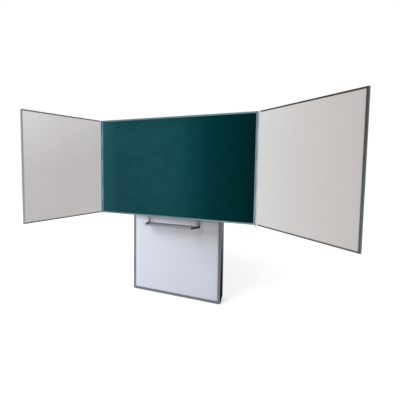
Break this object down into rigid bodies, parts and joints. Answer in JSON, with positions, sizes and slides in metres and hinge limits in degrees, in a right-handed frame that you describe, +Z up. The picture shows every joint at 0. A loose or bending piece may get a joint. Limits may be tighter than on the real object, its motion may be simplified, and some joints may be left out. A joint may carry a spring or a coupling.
{
  "type": "school board",
  "caption": "School board with a green centre and white folding wings, sliding up and down on a counterbalanced wall lift column",
  "frame": {"origin": "centre of the lift column's foot, on the floor", "axes": "+X to the viewer's right along the board, +Y back towards the wall, +Z up; the writing surfaces face -Y"},
  "size_m": [3.0305, 1.0997, 2.18],
  "materials": {
    "frame_aluminium": "satin",
    "column_aluminium": "satin",
    "green_enamel": "satin",
    "white_enamel": "gloss",
    "column_panel": "satin",
    "core_board": "matte",
    "steel": "satin",
    "dark_steel": "satin",
    "weight_iron": "matte",
    "wheel_plastic": "satin",
    "black_plastic": "satin",
    "stop_rubber": "matte",
    "handle_aluminium": "satin"
  },
  "bodies": {
    "column": {"left_guide_profile": "column_aluminium", "right_guide_profile": "column_aluminium", "head_cover": "column_aluminium", "column_bottom_rail": "column_aluminium", "column_front_panel": "column_panel", "upper_wall_rail": "dark_steel", "lower_wall_rail": "dark_steel", "left_foot_corner": "column_aluminium", "right_foot_corner": "column_aluminium", "left_pulley_bracket": "dark_steel", "right_pulley_bracket": "dark_steel", "left_pulley_axle": "steel", "right_pulley_axle": "steel", "left_cable_wrap": "steel", "right_cable_wrap": "steel", "left_down_stop": "stop_rubber", "right_down_stop": "stop_rubber"},
    "board": {"writing_surface": "green_enamel", "board_core": "core_board", "board_bottom_rail": "frame_aluminium", "board_top_rail": "frame_aluminium", "board_left_stile": "frame_aluminium", "board_right_stile": "frame_aluminium", "left_hinge_pin": "dark_steel", "right_hinge_pin": "dark_steel", "lower_carriage_rail": "dark_steel", "upper_carriage_rail": "dark_steel", "left_carriage_arm": "dark_steel", "right_carriage_arm": "dark_steel", "left_handle_arm": "handle_aluminium", "right_handle_arm": "handle_aluminium", "pen_tray": "handle_aluminium", "left_tray_cap": "black_plastic", "right_tray_cap": "black_plastic", "left_cable_board_run": "steel", "right_cable_board_run": "steel"},
    "left_wing": {"left_wing_surface": "white_enamel", "left_wing_core": "core_board", "left_wing_bottom_rail": "frame_aluminium", "left_wing_top_rail": "frame_aluminium", "left_wing_hinge_stile": "frame_aluminium", "left_wing_free_stile": "frame_aluminium"},
    "right_wing": {"right_wing_surface": "white_enamel", "right_wing_core": "core_board", "right_wing_bottom_rail": "frame_aluminium", "right_wing_top_rail": "frame_aluminium", "right_wing_hinge_stile": "frame_aluminium", "right_wing_free_stile": "frame_aluminium"},
    "left_counterweight": {"left_counterweight": "weight_iron", "left_weight_rod": "steel", "left_cable_weight_run": "steel"},
    "left_pulley": {"left_pulley": "wheel_plastic"},
    "left_lower_roller": {"left_lower_roller": "wheel_plastic"},
    "left_upper_roller": {"left_upper_roller": "wheel_plastic"},
    "right_counterweight": {"right_counterweight": "weight_iron", "right_weight_rod": "steel", "right_cable_weight_run": "steel"},
    "right_pulley": {"right_pulley": "wheel_plastic"},
    "right_lower_roller": {"right_lower_roller": "wheel_plastic"},
    "right_upper_roller": {"right_upper_roller": "wheel_plastic"}
  },
  "joints": [
    {"name": "board_lift", "type": "slide", "parent": "column", "child": "board", "axis": [0, 0, 1], "range_m": [-0.45, 0.3], "deforming": ["left_cable_board_run", "right_cable_board_run"]},
    {"name": "left_wing_hinge", "type": "hinge", "parent": "board", "child": "left_wing", "pos_m": [-0.997, -0.144, 0.98], "axis": [0, 0, 1], "range_deg": [-67, 113]},
    {"name": "right_wing_hinge", "type": "hinge", "parent": "board", "child": "right_wing", "pos_m": [0.917, -0.144, 0.98], "axis": [0, 0, -1], "range_deg": [-42.5, 137.5]},
    {"name": "left_counterweight_travel", "type": "slide", "parent": "column", "child": "left_counterweight", "axis": [0, 0, 1], "range_m": [-0.3, 0.45], "deforming": ["left_cable_weight_run"]},
    {"name": "left_pulley_turn", "type": "hinge", "parent": "column", "child": "left_pulley", "pos_m": [-0.514, 0, 2.04], "axis": [0, 1, 0], "range_deg": [-646, 431]},
    {"name": "left_upper_roller_turn", "type": "hinge", "parent": "board", "child": "left_upper_roller", "pos_m": [-0.554, 0, 1.5997], "axis": [1, 0, 0], "range_deg": [-1173, 783]},
    {"name": "left_lower_roller_turn", "type": "hinge", "parent": "board", "child": "left_lower_roller", "pos_m": [-0.554, 0, 1.14], "axis": [1, 0, 0], "range_deg": [-783, 1173]},
    {"name": "right_counterweight_travel", "type": "slide", "parent": "column", "child": "right_counterweight", "axis": [0, 0, 1], "range_m": [-0.3, 0.45], "deforming": ["right_cable_weight_run"]},
    {"name": "right_pulley_turn", "type": "hinge", "parent": "column", "child": "right_pulley", "pos_m": [0.514, 0, 2.04], "axis": [0, 1, 0], "range_deg": [-431, 646]},
    {"name": "right_upper_roller_turn", "type": "hinge", "parent": "board", "child": "right_upper_roller", "pos_m": [0.554, 0, 1.5997], "axis": [1, 0, 0], "range_deg": [-1173, 783]},
    {"name": "right_lower_roller_turn", "type": "hinge", "parent": "board", "child": "right_lower_roller", "pos_m": [0.554, 0, 1.14], "axis": [1, 0, 0], "range_deg": [-783, 1173]}
  ],
  "couplings": [
    {"joint": "left_counterweight_travel", "follows": "board_lift", "ratio": -1},
    {"joint": "left_pulley_turn", "follows": "board_lift", "rad_per_m": 25},
    {"joint": "left_upper_roller_turn", "follows": "board_lift", "rad_per_m": 45.455},
    {"joint": "left_lower_roller_turn", "follows": "board_lift", "rad_per_m": -45.455},
    {"joint": "right_counterweight_travel", "follows": "board_lift", "ratio": -1},
    {"joint": "right_pulley_turn", "follows": "board_lift", "rad_per_m": -25},
    {"joint": "right_upper_roller_turn", "follows": "board_lift", "rad_per_m": 45.455},
    {"joint": "right_lower_roller_turn", "follows": "board_lift", "rad_per_m": -45.455}
  ]
}
